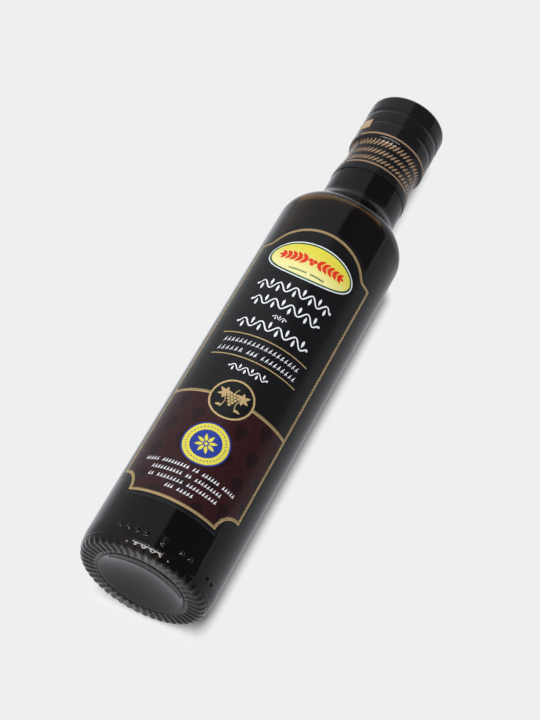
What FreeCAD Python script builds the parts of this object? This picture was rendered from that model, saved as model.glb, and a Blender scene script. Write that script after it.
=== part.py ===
"""A 250 ml glass vinegar bottle, lying on its side with its front label up.

Millimetres.  X runs along the bottle from its base (-X) to its cap (+X), Z is up.
Every turned piece is drawn as a half profile (s, r): s is the distance from the
base along the bottle, r the distance from the bottle's axis.
"""
import FreeCAD
import Part
import math
import os

os.makedirs("parts", exist_ok=True)

# ---- whole bottle
LENGTH = 228.6              # base to the top of the cap
BODY_R = 24.7               # outside radius of the body
FLAT_DEPTH = 0.12           # how much is taken off the underside as a resting flat

# ---- base
FOOT_S = 0.5                # ground between the foot ribs, above the rib crests
FOOT_R = 21.75              # outer radius of the flat foot
HEEL_TOP_S = 8.15           # where the rounded heel meets the straight body
RING_R = 16.45              # thin raised ring inside the foot ribs
RING_HALF = 0.45            # half width of that ring
STEP_R = 14.9               # small step at the edge of the push-up
STEP_S = 1.0                # depth of that step
PUSH_UP = 4.6               # depth of the push-up at its middle
RIB_COUNT = 45              # ribs round the foot
RIB_R = 0.85                # radius of a rib's round section
RIB_BEND_R = 21.0           # where a rib starts to turn up the heel
RIB_BEND = 1.6              # radius of that turn
PARTING_S = 3.15            # mould parting line on the heel
PARTING_H = 0.12            # how far the parting line stands out

# ---- raised mould marks just above the heel
MARK_S = 6.7                # their distance from the base
MARK_R = 1.05               # ball radius of a dot
MARK_SINK = 0.5             # how deep a ball's centre lies under the surface
MARK_PITCH = 8.0            # degrees between places in the row
MARK_FIRST = 22.9           # angle of the first place
MARK_DOTS = (0, 1, 2, 3, 7, 8, 11, 12)
MARK_DASH = 5               # place of the one long mark
DASH_HALF = 0.7             # half length of the long mark

# ---- shoulder and neck
SHOULDER_S = 159.9          # end of the straight body
SHOULDER_R = 11.0           # outer rounding of the shoulder
SHOULDER_ANGLE = 40.5       # slope of the shoulder, degrees
NECK_R = 15.2               # neck radius under the capsule's edge
NECK_FILLET = 7.0           # hollow rounding from shoulder to neck
NECK_SLIM = 1.3             # how much slimmer the neck gets under the capsule
NECK_WAIST_R = NECK_R - NECK_SLIM
NECK_WAIST_S = 198.6        # where the neck has slimmed down to it
RIM_S = 225.0               # top of the glass, under the cap
RIM_ROUND = 1.0

# ---- wall
WALL = 2.5                  # body wall
NECK_WALL = 3.2             # neck wall
FLOOR_WALL = 4.2            # glass over the push-up
MOUTH_R = 9.4               # radius of the opening
MOUTH_TAPER = 12.0          # length over which the neck narrows to the opening
INNER_HEEL = 6.5            # rounding inside the heel

# ---- contents
CONTENT_ML = 250.0          # what the label row asks for

# ---- capsule over the neck and closure
CAP_R = 15.5                # cap skirt radius
CAP_EDGE_S = 187.4          # cut edge of the capsule on the neck
CAP_EDGE_RUN = 1.5          # straight run above the cut edge
CAP_SKIN = 0.2              # capsule thickness over the glass
CAP_STEP_S = 203.6          # where the step out to the skirt begins
CAP_STEP = 2.2              # length of that step
CAP_TOP_ROUND = 2.2         # rounding of the cap's top edge
GROOVE_S = (213.6, 219.9)   # two grooves round the skirt
GROOVE_HALF = 1.6           # half width of a groove
GROOVE_DEPTH = 0.3

# ---- tear tab on the skirt
TAB_S = (209.9, 214.3)
TAB_ANGLES = (36.0, 58.0)
TAB_T = 0.3

# ---- front label: its frame is what the eye sees, the paper reaches past it
LABEL_T = 0.15
LABEL_TURN = -6.0           # the label's middle, degrees from straight up
LABEL_MARGIN = 2.0          # paper outside the gold frame
FRAME_HALF = 24.8           # half width of the frame, measured round the body
FRAME_BOTTOM_S = 21.5
FRAME_SIDE_S = 136.9        # top of the frame's straight sides
FRAME_ARCH_S = 145.5        # top of the arch
FRAME_EAR = 4.2             # level part at each upper corner
FRAME_ARCH_FOOT = 1.4       # hollow run from the level part into the arch
FRAME_ARCH_POWER = 0.7      # fullness of the arch: 0.5 is an ellipse, 1 a parabola
FRAME_NOTCH = 8.0           # hollow corners at the bottom


def vec(s, r):
    return FreeCAD.Vector(s, 0, r)


def line(a, b):
    return Part.LineSegment(vec(*a), vec(*b)).toShape()


def arc(a, mid, b):
    return Part.Arc(vec(*a), vec(*mid), vec(*b)).toShape()


def smooth(points, level_ends=False):
    curve = Part.BSplineCurve()
    if level_ends:
        along = FreeCAD.Vector(1, 0, 0)
        curve.interpolate(
            Points=[vec(*p) for p in points],
            InitialTangent=along,
            FinalTangent=along,
        )
    else:
        curve.interpolate([vec(*p) for p in points])
    return curve.toShape()


def turned(edges):
    """Closes a half profile along the axis and turns it into a solid."""
    wire = Part.Wire(edges)
    first = wire.OrderedVertexes[0].Point
    last = wire.OrderedVertexes[-1].Point
    closing = Part.LineSegment(last, first).toShape()
    face = Part.Face(Part.Wire(edges + [closing]))
    solid = face.revolve(FreeCAD.Vector(0, 0, 0), FreeCAD.Vector(1, 0, 0), 360)
    return solid


def round_about(shape, angle):
    """A copy turned about the bottle's axis; 0 is straight up, positive to +Y."""
    copy = shape.copy()
    copy.rotate(FreeCAD.Vector(0, 0, 0), FreeCAD.Vector(1, 0, 0), -angle)
    return copy


def shoulder_edges(inset, end_r):
    """Shoulder set in by a wall: an arc, a slope and a hollow arc up to the neck."""
    a = math.radians(SHOULDER_ANGLE)
    drop = BODY_R - NECK_R - (SHOULDER_R + NECK_FILLET) * (1 - math.cos(a))
    run = (SHOULDER_R + NECK_FILLET) * math.sin(a) + drop / math.tan(a)
    big = SHOULDER_R - inset
    small = NECK_FILLET + inset
    c1 = (SHOULDER_S, BODY_R - SHOULDER_R)
    c2 = (SHOULDER_S + run, NECK_R + NECK_FILLET)
    p0 = (SHOULDER_S, BODY_R - inset)
    m1 = (c1[0] + big * math.sin(a / 2), c1[1] + big * math.cos(a / 2))
    p1 = (c1[0] + big * math.sin(a), c1[1] + big * math.cos(a))
    p2 = (c2[0] - small * math.sin(a), c2[1] - small * math.cos(a))
    turn = a / 2
    m2 = (c2[0] - small * math.sin(turn), c2[1] - small * math.cos(turn))
    p3 = (c2[0], c2[1] - small)
    edges = [arc(p0, m1, p1), line(p1, p2), arc(p2, m2, p3)]
    if abs(p3[1] - end_r) > 0.001:
        edges.append(line(p3, (p3[0] + 3.0, end_r)))
        p3 = (p3[0] + 3.0, end_r)
    return edges, p3


def heel_edges():
    """Quarter ellipse from the foot up to the straight body."""
    long_axis = HEEL_TOP_S - FOOT_S
    short_axis = BODY_R - FOOT_R
    points = []
    for i in range(13):
        t = math.radians(90 * i / 12)
        s = HEEL_TOP_S - long_axis * math.cos(t)
        r = FOOT_R + short_axis * math.sin(t)
        points.append((s, r))
    return [smooth(points)]


def base_edges():
    """Push-up, step, raised ring and foot, from the axis outwards."""
    ring_in = RING_R - RING_HALF
    ring_out = RING_R + RING_HALF
    lip = (FOOT_S + 0.22, STEP_R + 0.7)
    dome_mid = (STEP_S + (PUSH_UP - STEP_S) * 0.75, STEP_R * 0.5)
    return [
        arc((PUSH_UP, 0), dome_mid, (STEP_S, STEP_R)),
        line((STEP_S, STEP_R), lip),
        line(lip, (FOOT_S, ring_in)),
        arc((FOOT_S, ring_in), (0, RING_R), (FOOT_S, ring_out)),
        line((FOOT_S, ring_out), (FOOT_S, FOOT_R)),
    ]


def glass_blank():
    """The bottle's outside as one full solid."""
    edges = base_edges() + heel_edges()
    edges.append(line((HEEL_TOP_S, BODY_R), (SHOULDER_S, BODY_R)))
    shoulder, end = shoulder_edges(0, NECK_R)
    edges += shoulder
    edges.append(line(end, (CAP_EDGE_S, NECK_R)))
    edges.append(line((CAP_EDGE_S, NECK_R), (NECK_WAIST_S, NECK_WAIST_R)))
    rim_low = (RIM_S - RIM_ROUND, NECK_WAIST_R)
    rim_in = (RIM_S, NECK_WAIST_R - RIM_ROUND)
    k = RIM_ROUND * (1 - math.sqrt(0.5))
    edges.append(line((NECK_WAIST_S, NECK_WAIST_R), rim_low))
    edges.append(arc(rim_low, (RIM_S - k, NECK_WAIST_R - k), rim_in))
    edges.append(line(rim_in, (RIM_S, 0)))
    return turned(edges)


def cavity():
    """The inside of the bottle up to its rim."""
    inner_r = BODY_R - WALL
    floor_s = PUSH_UP + FLOOR_WALL
    low_s = FOOT_S + FLOOR_WALL
    k = INNER_HEEL * (1 - math.sqrt(0.5))
    foot = (low_s, inner_r - INNER_HEEL)
    side = (low_s + INNER_HEEL, inner_r)
    dome_mid = (low_s + (floor_s - low_s) * 0.75, foot[1] * 0.5)
    edges = [
        arc((floor_s, 0), dome_mid, foot),
        arc(foot, (low_s + k, inner_r - k), side),
        line(side, (SHOULDER_S, inner_r)),
    ]
    shoulder, end = shoulder_edges(WALL, NECK_R - NECK_WALL)
    edges += shoulder
    bore = (RIM_S - MOUTH_TAPER, MOUTH_R)
    neck_top = (bore[0] - MOUTH_TAPER, NECK_WAIST_R - NECK_WALL)
    edges.append(line(end, (CAP_EDGE_S, end[1])))
    edges.append(line((CAP_EDGE_S, end[1]), neck_top))
    edges.append(line(neck_top, bore))
    edges.append(line(bore, (RIM_S, MOUTH_R)))
    edges.append(line((RIM_S, MOUTH_R), (RIM_S, 0)))
    return turned(edges)


def rib():
    """One foot rib: a round bar along the foot that turns up into the heel."""
    half = math.sqrt(0.5)
    start = (RIB_R, RING_R + 0.1)
    bend = (RIB_R, RIB_BEND_R)
    mid = (RIB_R + RIB_BEND * (1 - half), RIB_BEND_R + RIB_BEND * half)
    end = (RIB_R + RIB_BEND, RIB_BEND_R + RIB_BEND)
    path = Part.Wire([line(start, bend), arc(bend, mid, end)])
    circle = Part.makeCircle(RIB_R, vec(*start), FreeCAD.Vector(0, 0, 1))
    return path.makePipeShell([Part.Wire([circle])], True, True)


def heel_radius(s):
    """Outside radius of the heel at a distance s from the base."""
    t = (HEEL_TOP_S - s) / (HEEL_TOP_S - FOOT_S)
    return FOOT_R + (BODY_R - FOOT_R) * math.sqrt(1 - t * t)


def parting_ring():
    """The thin raised line the mould leaves round the heel."""
    r = heel_radius(PARTING_S)
    ring_r = PARTING_H * 2
    return Part.makeTorus(r - PARTING_H, ring_r, vec(PARTING_S, 0), FreeCAD.Vector(1, 0, 0))


def marks():
    """Raised dots and one dash in a row above the heel."""
    centre_r = heel_radius(MARK_S) - MARK_SINK
    shapes = []
    for place in MARK_DOTS:
        ball = Part.makeSphere(MARK_R, vec(MARK_S, centre_r))
        shapes.append(round_about(ball, MARK_FIRST - MARK_PITCH * place))
    low = vec(MARK_S - DASH_HALF, centre_r)
    bar = Part.makeCylinder(MARK_R, 2 * DASH_HALF, low, FreeCAD.Vector(1, 0, 0))
    for end in (-DASH_HALF, DASH_HALF):
        bar = bar.fuse(Part.makeSphere(MARK_R, vec(MARK_S + end, centre_r)))
    shapes.append(round_about(bar, MARK_FIRST - MARK_PITCH * MARK_DASH))
    return shapes


def bottle_glass(blank, inside):
    one_rib = rib()
    ribs = []
    for i in range(RIB_COUNT):
        ribs.append(round_about(one_rib, 360.0 * (i + 0.5) / RIB_COUNT))
    solid = blank.fuse(ribs + [parting_ring()] + marks())
    solid = solid.cut(inside)
    keep = Part.makeBox(
        LENGTH + 20,
        4 * BODY_R,
        4 * BODY_R,
        FreeCAD.Vector(-10, -2 * BODY_R, -(BODY_R - FLAT_DEPTH)),
    )
    return solid.common(keep).removeSplitter()


def vinegar(inside):
    """What the bottle holds: filled up to a level plane that leaves CONTENT_ML."""
    low = 0.0
    high = BODY_R
    for _ in range(18):
        level = (low + high) / 2
        filled = below(inside, level)
        if filled.Volume < CONTENT_ML * 1000:
            low = level
        else:
            high = level
    return filled, level


def below(shape, level):
    block = Part.makeBox(
        LENGTH + 20,
        4 * BODY_R,
        2 * BODY_R + level,
        FreeCAD.Vector(-10, -2 * BODY_R, -2 * BODY_R),
    )
    return shape.common(block)


def groove_edges(middle):
    """A shallow soft-edged groove in the skirt."""
    a = (middle - GROOVE_HALF, CAP_R)
    low = (middle, CAP_R - GROOVE_DEPTH)
    b = (middle + GROOVE_HALF, CAP_R)
    return [smooth([a, low, b], True)], a, b


def neck_capsule(blank):
    """Shrink capsule with the closure under it, which can't be seen into."""
    skin_r = NECK_R + CAP_SKIN
    waist_r = NECK_WAIST_R + CAP_SKIN
    skin_end = (CAP_EDGE_S + CAP_EDGE_RUN, skin_r)
    waist_mid = (skin_end[0] + 0.46 * (NECK_WAIST_S + 1.0 - skin_end[0]),
                 waist_r + 0.4 * (skin_r - waist_r))
    waist = (NECK_WAIST_S + 1.0, waist_r)
    step_low = (CAP_STEP_S, waist_r)
    step_high = (CAP_STEP_S + CAP_STEP, CAP_R)
    edges = [
        line((CAP_EDGE_S, 0), (CAP_EDGE_S, skin_r)),
        line((CAP_EDGE_S, skin_r), skin_end),
        smooth([skin_end, waist_mid, waist], True),
        line(waist, step_low),
        smooth([step_low, step_high], True),
    ]
    here = step_high
    for middle in GROOVE_S:
        groove, start, end = groove_edges(middle)
        edges.append(line(here, start))
        edges += groove
        here = end
    top_low = (LENGTH - CAP_TOP_ROUND, CAP_R)
    top_in = (LENGTH, CAP_R - CAP_TOP_ROUND)
    k = CAP_TOP_ROUND * (1 - math.sqrt(0.5))
    edges.append(line(here, top_low))
    edges.append(arc(top_low, (LENGTH - k, CAP_R - k), top_in))
    edges.append(line(top_in, (LENGTH, 0)))
    return turned(edges).cut(blank)


def tear_tab():
    """A short curved tab that lies on the skirt."""
    tube = Part.makeCylinder(CAP_R + TAB_T, TAB_S[1] - TAB_S[0], vec(TAB_S[0], 0),
                             FreeCAD.Vector(1, 0, 0), TAB_ANGLES[1] - TAB_ANGLES[0])
    core = Part.makeCylinder(CAP_R, LENGTH, vec(0, 0), FreeCAD.Vector(1, 0, 0))
    piece = tube.cut(core)
    middle = piece.BoundBox.Center
    now = math.degrees(math.atan2(middle.y, middle.z))
    want = (TAB_ANGLES[0] + TAB_ANGLES[1]) / 2
    return round_about(piece, want - now)


def label_edges(grow):
    """Half of the label's outline as (w, s), w measured round the body; grow moves
    every line outwards from the gold frame."""
    half = FRAME_HALF + grow
    bottom = FRAME_BOTTOM_S - grow
    side_top = FRAME_SIDE_S + grow
    arch_top = FRAME_ARCH_S + grow
    ear_end = half - FRAME_EAR
    h = math.sqrt(0.5)
    notch_mid = (half - FRAME_NOTCH * h, bottom + FRAME_NOTCH * h)
    return [
        ("line", (0, bottom), (half - FRAME_NOTCH, bottom)),
        ("arc", (half - FRAME_NOTCH, bottom), notch_mid, (half, bottom + FRAME_NOTCH)),
        ("line", (half, bottom + FRAME_NOTCH), (half, side_top)),
        ("line", (half, side_top), (ear_end, side_top)),
        ("curve", *arch_points(ear_end, side_top, arch_top)),
    ]


def arch_points(ear_end, side_top, arch_top):
    """The full arch from its foot on the level part up to the middle."""
    foot = ear_end - FRAME_ARCH_FOOT
    points = [(ear_end, side_top)]
    for share in (0.88, 0.75, 0.6, 0.45, 0.3, 0.15, 0.0):
        height = (1 - share ** 2) ** FRAME_ARCH_POWER
        points.append((foot * share, side_top + (arch_top - side_top) * height))
    return points


def seen_from_above(kind, points):
    """One edge of the outline as it looks from above, w wrapped round the body."""
    flat = []
    for w, s in points:
        y = BODY_R * math.sin(w / BODY_R)
        flat.append(FreeCAD.Vector(s, -y, 0))
    if kind == "line":
        return Part.LineSegment(flat[0], flat[1]).toShape()
    curve = Part.BSplineCurve()
    curve.interpolate(flat)
    return curve.toShape()


def arc_points(a, mid, b, count=9):
    """Points on the circle through three points."""
    ax, ay = a
    bx, by = mid
    cx, cy = b
    d = 2 * (ax * (by - cy) + bx * (cy - ay) + cx * (ay - by))
    ux = ((ax ** 2 + ay ** 2) * (by - cy) + (bx ** 2 + by ** 2) * (cy - ay)
          + (cx ** 2 + cy ** 2) * (ay - by)) / d
    uy = ((ax ** 2 + ay ** 2) * (cx - bx) + (bx ** 2 + by ** 2) * (ax - cx)
          + (cx ** 2 + cy ** 2) * (bx - ax)) / d
    r = math.hypot(ax - ux, ay - uy)
    t0 = math.atan2(ay - uy, ax - ux)
    t1 = math.atan2(cy - uy, cx - ux)
    sweep = (t1 - t0 + math.pi) % (2 * math.pi) - math.pi
    return [
        (ux + r * math.cos(t0 + sweep * i / (count - 1)),
         uy + r * math.sin(t0 + sweep * i / (count - 1)))
        for i in range(count)
    ]


def front_label():
    """A thin curved sheet glued to the body."""
    chain = label_edges(LABEL_MARGIN)
    mirrored = []
    for kind, *points in reversed(chain):
        mirrored.append((kind, *[(-w, s) for (w, s) in reversed(points)]))
    edges = []
    for kind, *points in chain + mirrored:
        if kind == "arc":
            points = arc_points(*points)
        edges.append(seen_from_above(kind, points))
    face = Part.Face(Part.Wire(edges))
    column = face.extrude(FreeCAD.Vector(0, 0, 2 * BODY_R))
    axis = FreeCAD.Vector(1, 0, 0)
    outer = Part.makeCylinder(BODY_R + LABEL_T, LENGTH, vec(0, 0), axis)
    core = Part.makeCylinder(BODY_R, LENGTH, vec(0, 0), axis)
    return round_about(outer.cut(core).common(column), LABEL_TURN)


def main():
    blank = glass_blank()
    inside = cavity()
    contents, level = vinegar(inside)
    label = front_label()
    pieces = {
        "bottle_glass": bottle_glass(blank, inside),
        "vinegar": contents,
        "neck_capsule": neck_capsule(blank),
        "tear_tab": tear_tab(),
        "front_label": label,
    }
    place = FreeCAD.Vector(-LENGTH / 2, 0, BODY_R - FLAT_DEPTH)
    for name, shape in pieces.items():
        shape = max(shape.Solids, key=lambda solid: solid.Volume)
        shape.translate(place)
        shape.exportStep("parts/" + name + ".step")
        box = shape.BoundBox
        print(name, shape.ShapeType, shape.isValid(), len(shape.Solids),
              round(shape.Volume / 1000, 2), "ml", round(box.XMin, 2), round(box.XMax, 2),
              round(box.YMin, 2), round(box.YMax, 2), round(box.ZMin, 2), round(box.ZMax, 2))
    print("brimful ml", round(inside.Volume / 1000, 1), "level above axis", round(level, 2))


main()
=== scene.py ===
"""Looks of a small glass vinegar bottle that lies on its side, built around its CAD frame.

Sizes are millimetres in the functions below and metres in the scene.  A point of a
turned piece is (s, r): s runs from the base to the cap, r from the bottle's axis.
A point of the print is (w, s): w runs round the body to the label's right.
"""

import math

import bmesh
import bpy
from mathutils import Matrix, Vector


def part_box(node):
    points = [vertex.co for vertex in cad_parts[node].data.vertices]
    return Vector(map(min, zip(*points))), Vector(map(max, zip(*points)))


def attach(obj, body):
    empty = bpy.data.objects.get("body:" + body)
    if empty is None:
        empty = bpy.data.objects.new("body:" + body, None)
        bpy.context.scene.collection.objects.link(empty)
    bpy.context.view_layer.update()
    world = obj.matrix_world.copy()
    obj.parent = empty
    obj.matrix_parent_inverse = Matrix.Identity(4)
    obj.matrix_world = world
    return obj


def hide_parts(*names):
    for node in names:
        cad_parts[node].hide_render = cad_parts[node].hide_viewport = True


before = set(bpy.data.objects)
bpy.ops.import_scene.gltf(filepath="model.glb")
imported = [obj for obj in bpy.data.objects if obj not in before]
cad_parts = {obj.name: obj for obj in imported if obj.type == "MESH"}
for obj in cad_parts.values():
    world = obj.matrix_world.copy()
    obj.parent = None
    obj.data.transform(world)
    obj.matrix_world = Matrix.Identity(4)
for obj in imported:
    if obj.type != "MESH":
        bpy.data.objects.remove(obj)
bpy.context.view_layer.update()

bl_info = {
    "name": "Vinegar bottle",
    "version": (1, 0, 0),
    "blender": (4, 5, 0),
    "location": "3D View > Sidebar > Bottle",
    "description": "Builds a lying glass vinegar bottle with its label, capsule and print",
    "category": "Object",
}

MM = 0.001
HALF = math.sqrt(0.5)
PALE = (0.862, 0.862, 0.862)

# how far each printed layer stands off the paper, in millimetres
LIFT = {
    "field": 0.012, "ground": 0.020, "ink": 0.024, "divider": 0.026, "ring": 0.028,
    "figure": 0.030, "edge": 0.032, "face": 0.036, "crest": 0.042, "motif": 0.045,
}
NECK_LIFT = 0.03


# ---------------------------------------------------------------- shader maths
class Socket:
    """A shader value that can be used in a Python expression."""

    def __init__(self, finish, socket):
        self.finish = finish
        self.socket = socket

    def math(self, operation, *others, first=None):
        values = [self if first is None else first, *others]
        node = self.finish.node("ShaderNodeMath", {"operation": operation}, dict(enumerate(values)))
        return Socket(self.finish, node.outputs[0])

    def __add__(self, other):
        return self.math("ADD", other)

    def __radd__(self, other):
        return self.math("ADD", self, first=other)

    def __sub__(self, other):
        return self.math("SUBTRACT", other)

    def __rsub__(self, other):
        return self.math("SUBTRACT", self, first=other)

    def __mul__(self, other):
        return self.math("MULTIPLY", other)

    def __rmul__(self, other):
        return self.math("MULTIPLY", self, first=other)

    def __truediv__(self, other):
        return self.math("DIVIDE", other)

    def __rtruediv__(self, other):
        return self.math("DIVIDE", self, first=other)

    def __neg__(self):
        return self.math("MULTIPLY", -1.0)

    def sin(self):
        return self.math("SINE")

    def abs(self):
        return self.math("ABSOLUTE")

    def floor(self):
        return self.math("FLOOR")

    def fract(self):
        return self.math("FRACT")

    def least(self, other):
        return self.math("MINIMUM", other)

    def most(self, other):
        return self.math("MAXIMUM", other)

    def step(self, low, high):
        """0 below low, 1 above high, smooth between them."""
        node = self.finish.node(
            "ShaderNodeMapRange",
            {"interpolation_type": "SMOOTHSTEP"},
            {"Value": self, "From Min": low, "From Max": high},
        )
        return Socket(self.finish, node.outputs[0])


class Finish:
    """One material, or the world, and the nodes in it."""

    def __init__(self, owner):
        owner.use_nodes = True
        self.owner = owner
        self.tree = owner.node_tree
        self.tree.nodes.clear()

    def node(self, kind, settings=None, inputs=None):
        node = self.tree.nodes.new(kind)
        for name, value in (settings or {}).items():
            setattr(node, name, value)
        for name, value in (inputs or {}).items():
            socket = node.inputs[name]
            if isinstance(value, Socket):
                self.tree.links.new(value.socket, socket)
            else:
                socket.default_value = value
        return node

    def out(self, node, name=0):
        return Socket(self, node.outputs[name])

    def axes(self, vector):
        split = self.node("ShaderNodeSeparateXYZ", None, {0: vector})
        return [self.out(split, i) for i in range(3)]

    def place(self):
        """Position on the object, in millimetres."""
        spot = self.out(self.node("ShaderNodeTexCoord"), "Object")
        scaled = self.node(
            "ShaderNodeVectorMath", {"operation": "SCALE"}, {0: spot, "Scale": 1 / MM}
        )
        return self.out(scaled)

    def print_place(self):
        """Position on the unrolled label, in millimetres."""
        return self.axes(self.out(self.node("ShaderNodeUVMap", {"uv_map": "print"})))

    def noise(self, vector, scale, detail=3.0):
        node = self.node(
            "ShaderNodeTexNoise", None, {"Vector": vector, "Scale": scale, "Detail": detail}
        )
        return self.out(node, "Fac")

    def mix(self, factor, a, b):
        """Two colours mixed by a factor from 0 to 1."""
        node = self.node("ShaderNodeMix", {"data_type": "RGBA"})
        for name, value in (("Factor_Float", factor), ("A_Color", a), ("B_Color", b)):
            socket = next(s for s in node.inputs if s.identifier == name)
            if isinstance(value, Socket):
                self.tree.links.new(value.socket, socket)
            elif name == "Factor_Float":
                socket.default_value = value
            else:
                socket.default_value = (*value[:3], 1.0)
        found = next(s for s in node.outputs if s.identifier == "Result_Color")
        return Socket(self, found)

    def bump(self, height, distance, strength=1.0):
        node = self.node(
            "ShaderNodeBump", None, {"Height": height, "Distance": distance, "Strength": strength}
        )
        return self.out(node, "Normal")

    def surface(self, **inputs):
        """A Principled surface; keys are its sockets with _ for a space."""
        named = {}
        for key, value in inputs.items():
            if key == "Base_Color" and not isinstance(value, Socket):
                value = (*value[:3], 1.0)
            named[key.replace("_", " ")] = value
        shader = self.node("ShaderNodeBsdfPrincipled", None, named)
        self.node("ShaderNodeOutputMaterial", None, {"Surface": self.out(shader)})
        return self.owner


def material(name):
    return Finish(bpy.data.materials.new(name))


# ---------------------------------------------------------------- sizes and colours
def length(name, about, value):
    return bpy.props.FloatProperty(
        name=name, description=about, default=value * MM, unit="LENGTH", subtype="DISTANCE"
    )


def angle(name, about, degrees):
    return bpy.props.FloatProperty(
        name=name, description=about, default=math.radians(degrees), subtype="ANGLE"
    )


def colour(name, about, value):
    return bpy.props.FloatVectorProperty(
        name=name, description=about, default=value, size=3, min=0, max=1, subtype="COLOR"
    )


class BottleSizes(bpy.types.PropertyGroup):
    """Sizes of the glass, the same as the CAD frame's."""

    total: length("Length", "Base to the top of the cap", 228.6)
    body_r: length("Body radius", "Outside radius of the body", 24.7)
    flat: length("Resting flat", "Depth of the flat along the underside", 0.12)
    foot_s: length("Foot depth", "Ground between the foot ribs", 0.5)
    foot_r: length("Foot radius", "Outer radius of the foot", 21.75)
    heel_s: length("Heel height", "Where the heel meets the body", 8.15)
    ring_r: length("Ring radius", "Thin ring inside the foot ribs", 16.45)
    ring_half: length("Ring half width", "Half the width of that ring", 0.45)
    step_r: length("Step radius", "Small step round the push-up", 14.9)
    step_s: length("Step depth", "Depth of that step", 1.0)
    push_up: length("Push-up", "Depth of the hollow in the base", 4.6)
    rib_r: length("Rib radius", "Radius of one foot rib", 0.85)
    rib_bend_r: length("Rib bend at", "Where a rib turns up the heel", 21.0)
    rib_bend: length("Rib bend", "Radius of that turn", 1.6)
    rib_count: bpy.props.IntProperty(name="Ribs", description="Ribs round the foot", default=45)
    parting_s: length("Parting line", "Height of the mould line on the heel", 3.15)
    parting_h: length("Parting relief", "How far it stands out", 0.12)
    mark_s: length("Mark height", "Height of the row of raised dots", 6.7)
    mark_r: length("Mark ball", "Ball radius of a raised dot", 1.05)
    mark_sink: length("Mark sink", "How deep a ball's centre lies", 0.5)
    mark_pitch: angle("Mark pitch", "Angle between places in the row", 8.0)
    mark_first: angle("First mark", "Angle of the first place", 22.9)
    shoulder_s: length("Shoulder start", "End of the straight body", 159.9)
    shoulder_r: length("Shoulder radius", "Outer rounding of the shoulder", 11.0)
    slope: angle("Shoulder slope", "Slope of the shoulder", 40.5)
    neck_r: length("Neck radius", "Radius of the bare neck", 15.2)
    fillet: length("Neck fillet", "Hollow rounding into the neck", 7.0)
    waist_r: length("Waist radius", "Slimmest neck radius", 13.9)
    waist_s: length("Waist place", "Where the neck is slimmest", 198.6)
    rim_s: length("Rim", "Top of the glass", 225.0)
    rim_round: length("Rim rounding", "Rounding of the rim", 1.0)
    wall: length("Body wall", "Thickness of the body", 2.5)
    neck_wall: length("Neck wall", "Thickness of the neck", 3.2)
    floor_wall: length("Floor", "Glass over the push-up", 4.2)
    mouth_r: length("Mouth radius", "Radius of the opening", 9.4)
    mouth_taper: length("Mouth taper", "Length of the narrowing", 12.0)
    inner_heel: length("Inner heel", "Rounding inside the heel", 6.5)


class CapsuleSizes(bpy.types.PropertyGroup):
    """Sizes of the shrink capsule and its print."""

    skirt_r: length("Skirt radius", "Radius of the cap skirt", 15.5)
    edge_s: length("Cut edge", "Where the capsule ends on the neck", 187.4)
    edge_run: length("Edge run", "Straight run above the cut edge", 1.5)
    skin: length("Skin", "Thickness over the glass", 0.2)
    step_s: length("Step", "Where the skirt begins", 203.6)
    step: length("Step length", "Length of the step", 2.2)
    top_round: length("Top rounding", "Rounding of the top edge", 2.2)
    groove_half: length("Groove half width", "Half width of a groove", 1.6)
    groove_deep: length("Groove depth", "Depth of a groove", 0.3)
    grooves: bpy.props.FloatVectorProperty(
        name="Grooves", description="Places of the two grooves", size=2, unit="LENGTH",
        default=(213.6 * MM, 219.9 * MM),
    )
    line_low_s: length("Lower line", "Gold line on the neck", 191.5)
    line_high_s: length("Upper line", "Gold line at the foot of the skirt", 206.7)
    line_wide: length("Line width", "Width of the gold lines", 0.85)
    row_high: length("Row height", "Height of the gold ornament rows", 3.3)
    row_pitch: length("Row pitch", "Distance between the ornament rows", 4.4)
    row_first: length("First row", "Place of the lowest ornament row", 194.4)
    units: bpy.props.IntProperty(name="Units", description="Ornament units in a row", default=27)
    tab_low: length("Tab start", "Lower edge of the tear tab", 209.9)
    tab_high: length("Tab end", "Upper edge of the tear tab", 214.3)
    tab_from: angle("Tab from", "Right edge of the tear tab", 36.0)
    tab_to: angle("Tab to", "Left edge of the tear tab", 58.0)
    tab_thick: length("Tab thickness", "Thickness of the tear tab", 0.3)


class LabelSizes(bpy.types.PropertyGroup):
    """Sizes of the label and what is printed on it."""

    turn: angle("Turn", "Middle of the label from straight up", -6.0)
    thick: length("Thickness", "Thickness of the paper", 0.15)
    margin: length("Margin", "Paper outside the gold frame", 2.0)
    half: length("Frame half width", "Measured round the body", 24.8)
    bottom: length("Frame bottom", "Lower edge of the frame", 21.5)
    side_top: length("Frame sides", "Top of the straight sides", 136.9)
    arch_top: length("Arch", "Top of the arch", 145.5)
    ear: length("Ear", "Level part at each upper corner", 4.2)
    arch_foot: length("Arch foot", "Hollow run into the arch", 1.4)
    arch_power: bpy.props.FloatProperty(
        name="Arch fullness", description="0.5 is an ellipse, 1 a parabola", default=0.7
    )
    notch: length("Notch", "Hollow lower corners", 8.0)
    frame_wide: length("Frame width", "Width of the gold frame", 1.05)
    divider_s: length("Divider", "Place of the line between the two fields", 65.5)
    divider_wide: length("Divider width", "Width of that line", 1.2)
    medal_r: length("Medallion", "Outer radius of the medallion", 8.15)
    seal_s: length("Seal place", "Middle of the round seal", 45.75)
    seal_r: length("Seal", "Outer radius of the seal", 9.0)
    badge_s: length("Badge place", "Middle of the oval badge", 131.0)
    badge_half: length("Badge half width", "Half the badge's width", 17.5)
    badge_high: length("Badge half height", "Half the badge's height", 8.3)


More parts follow.
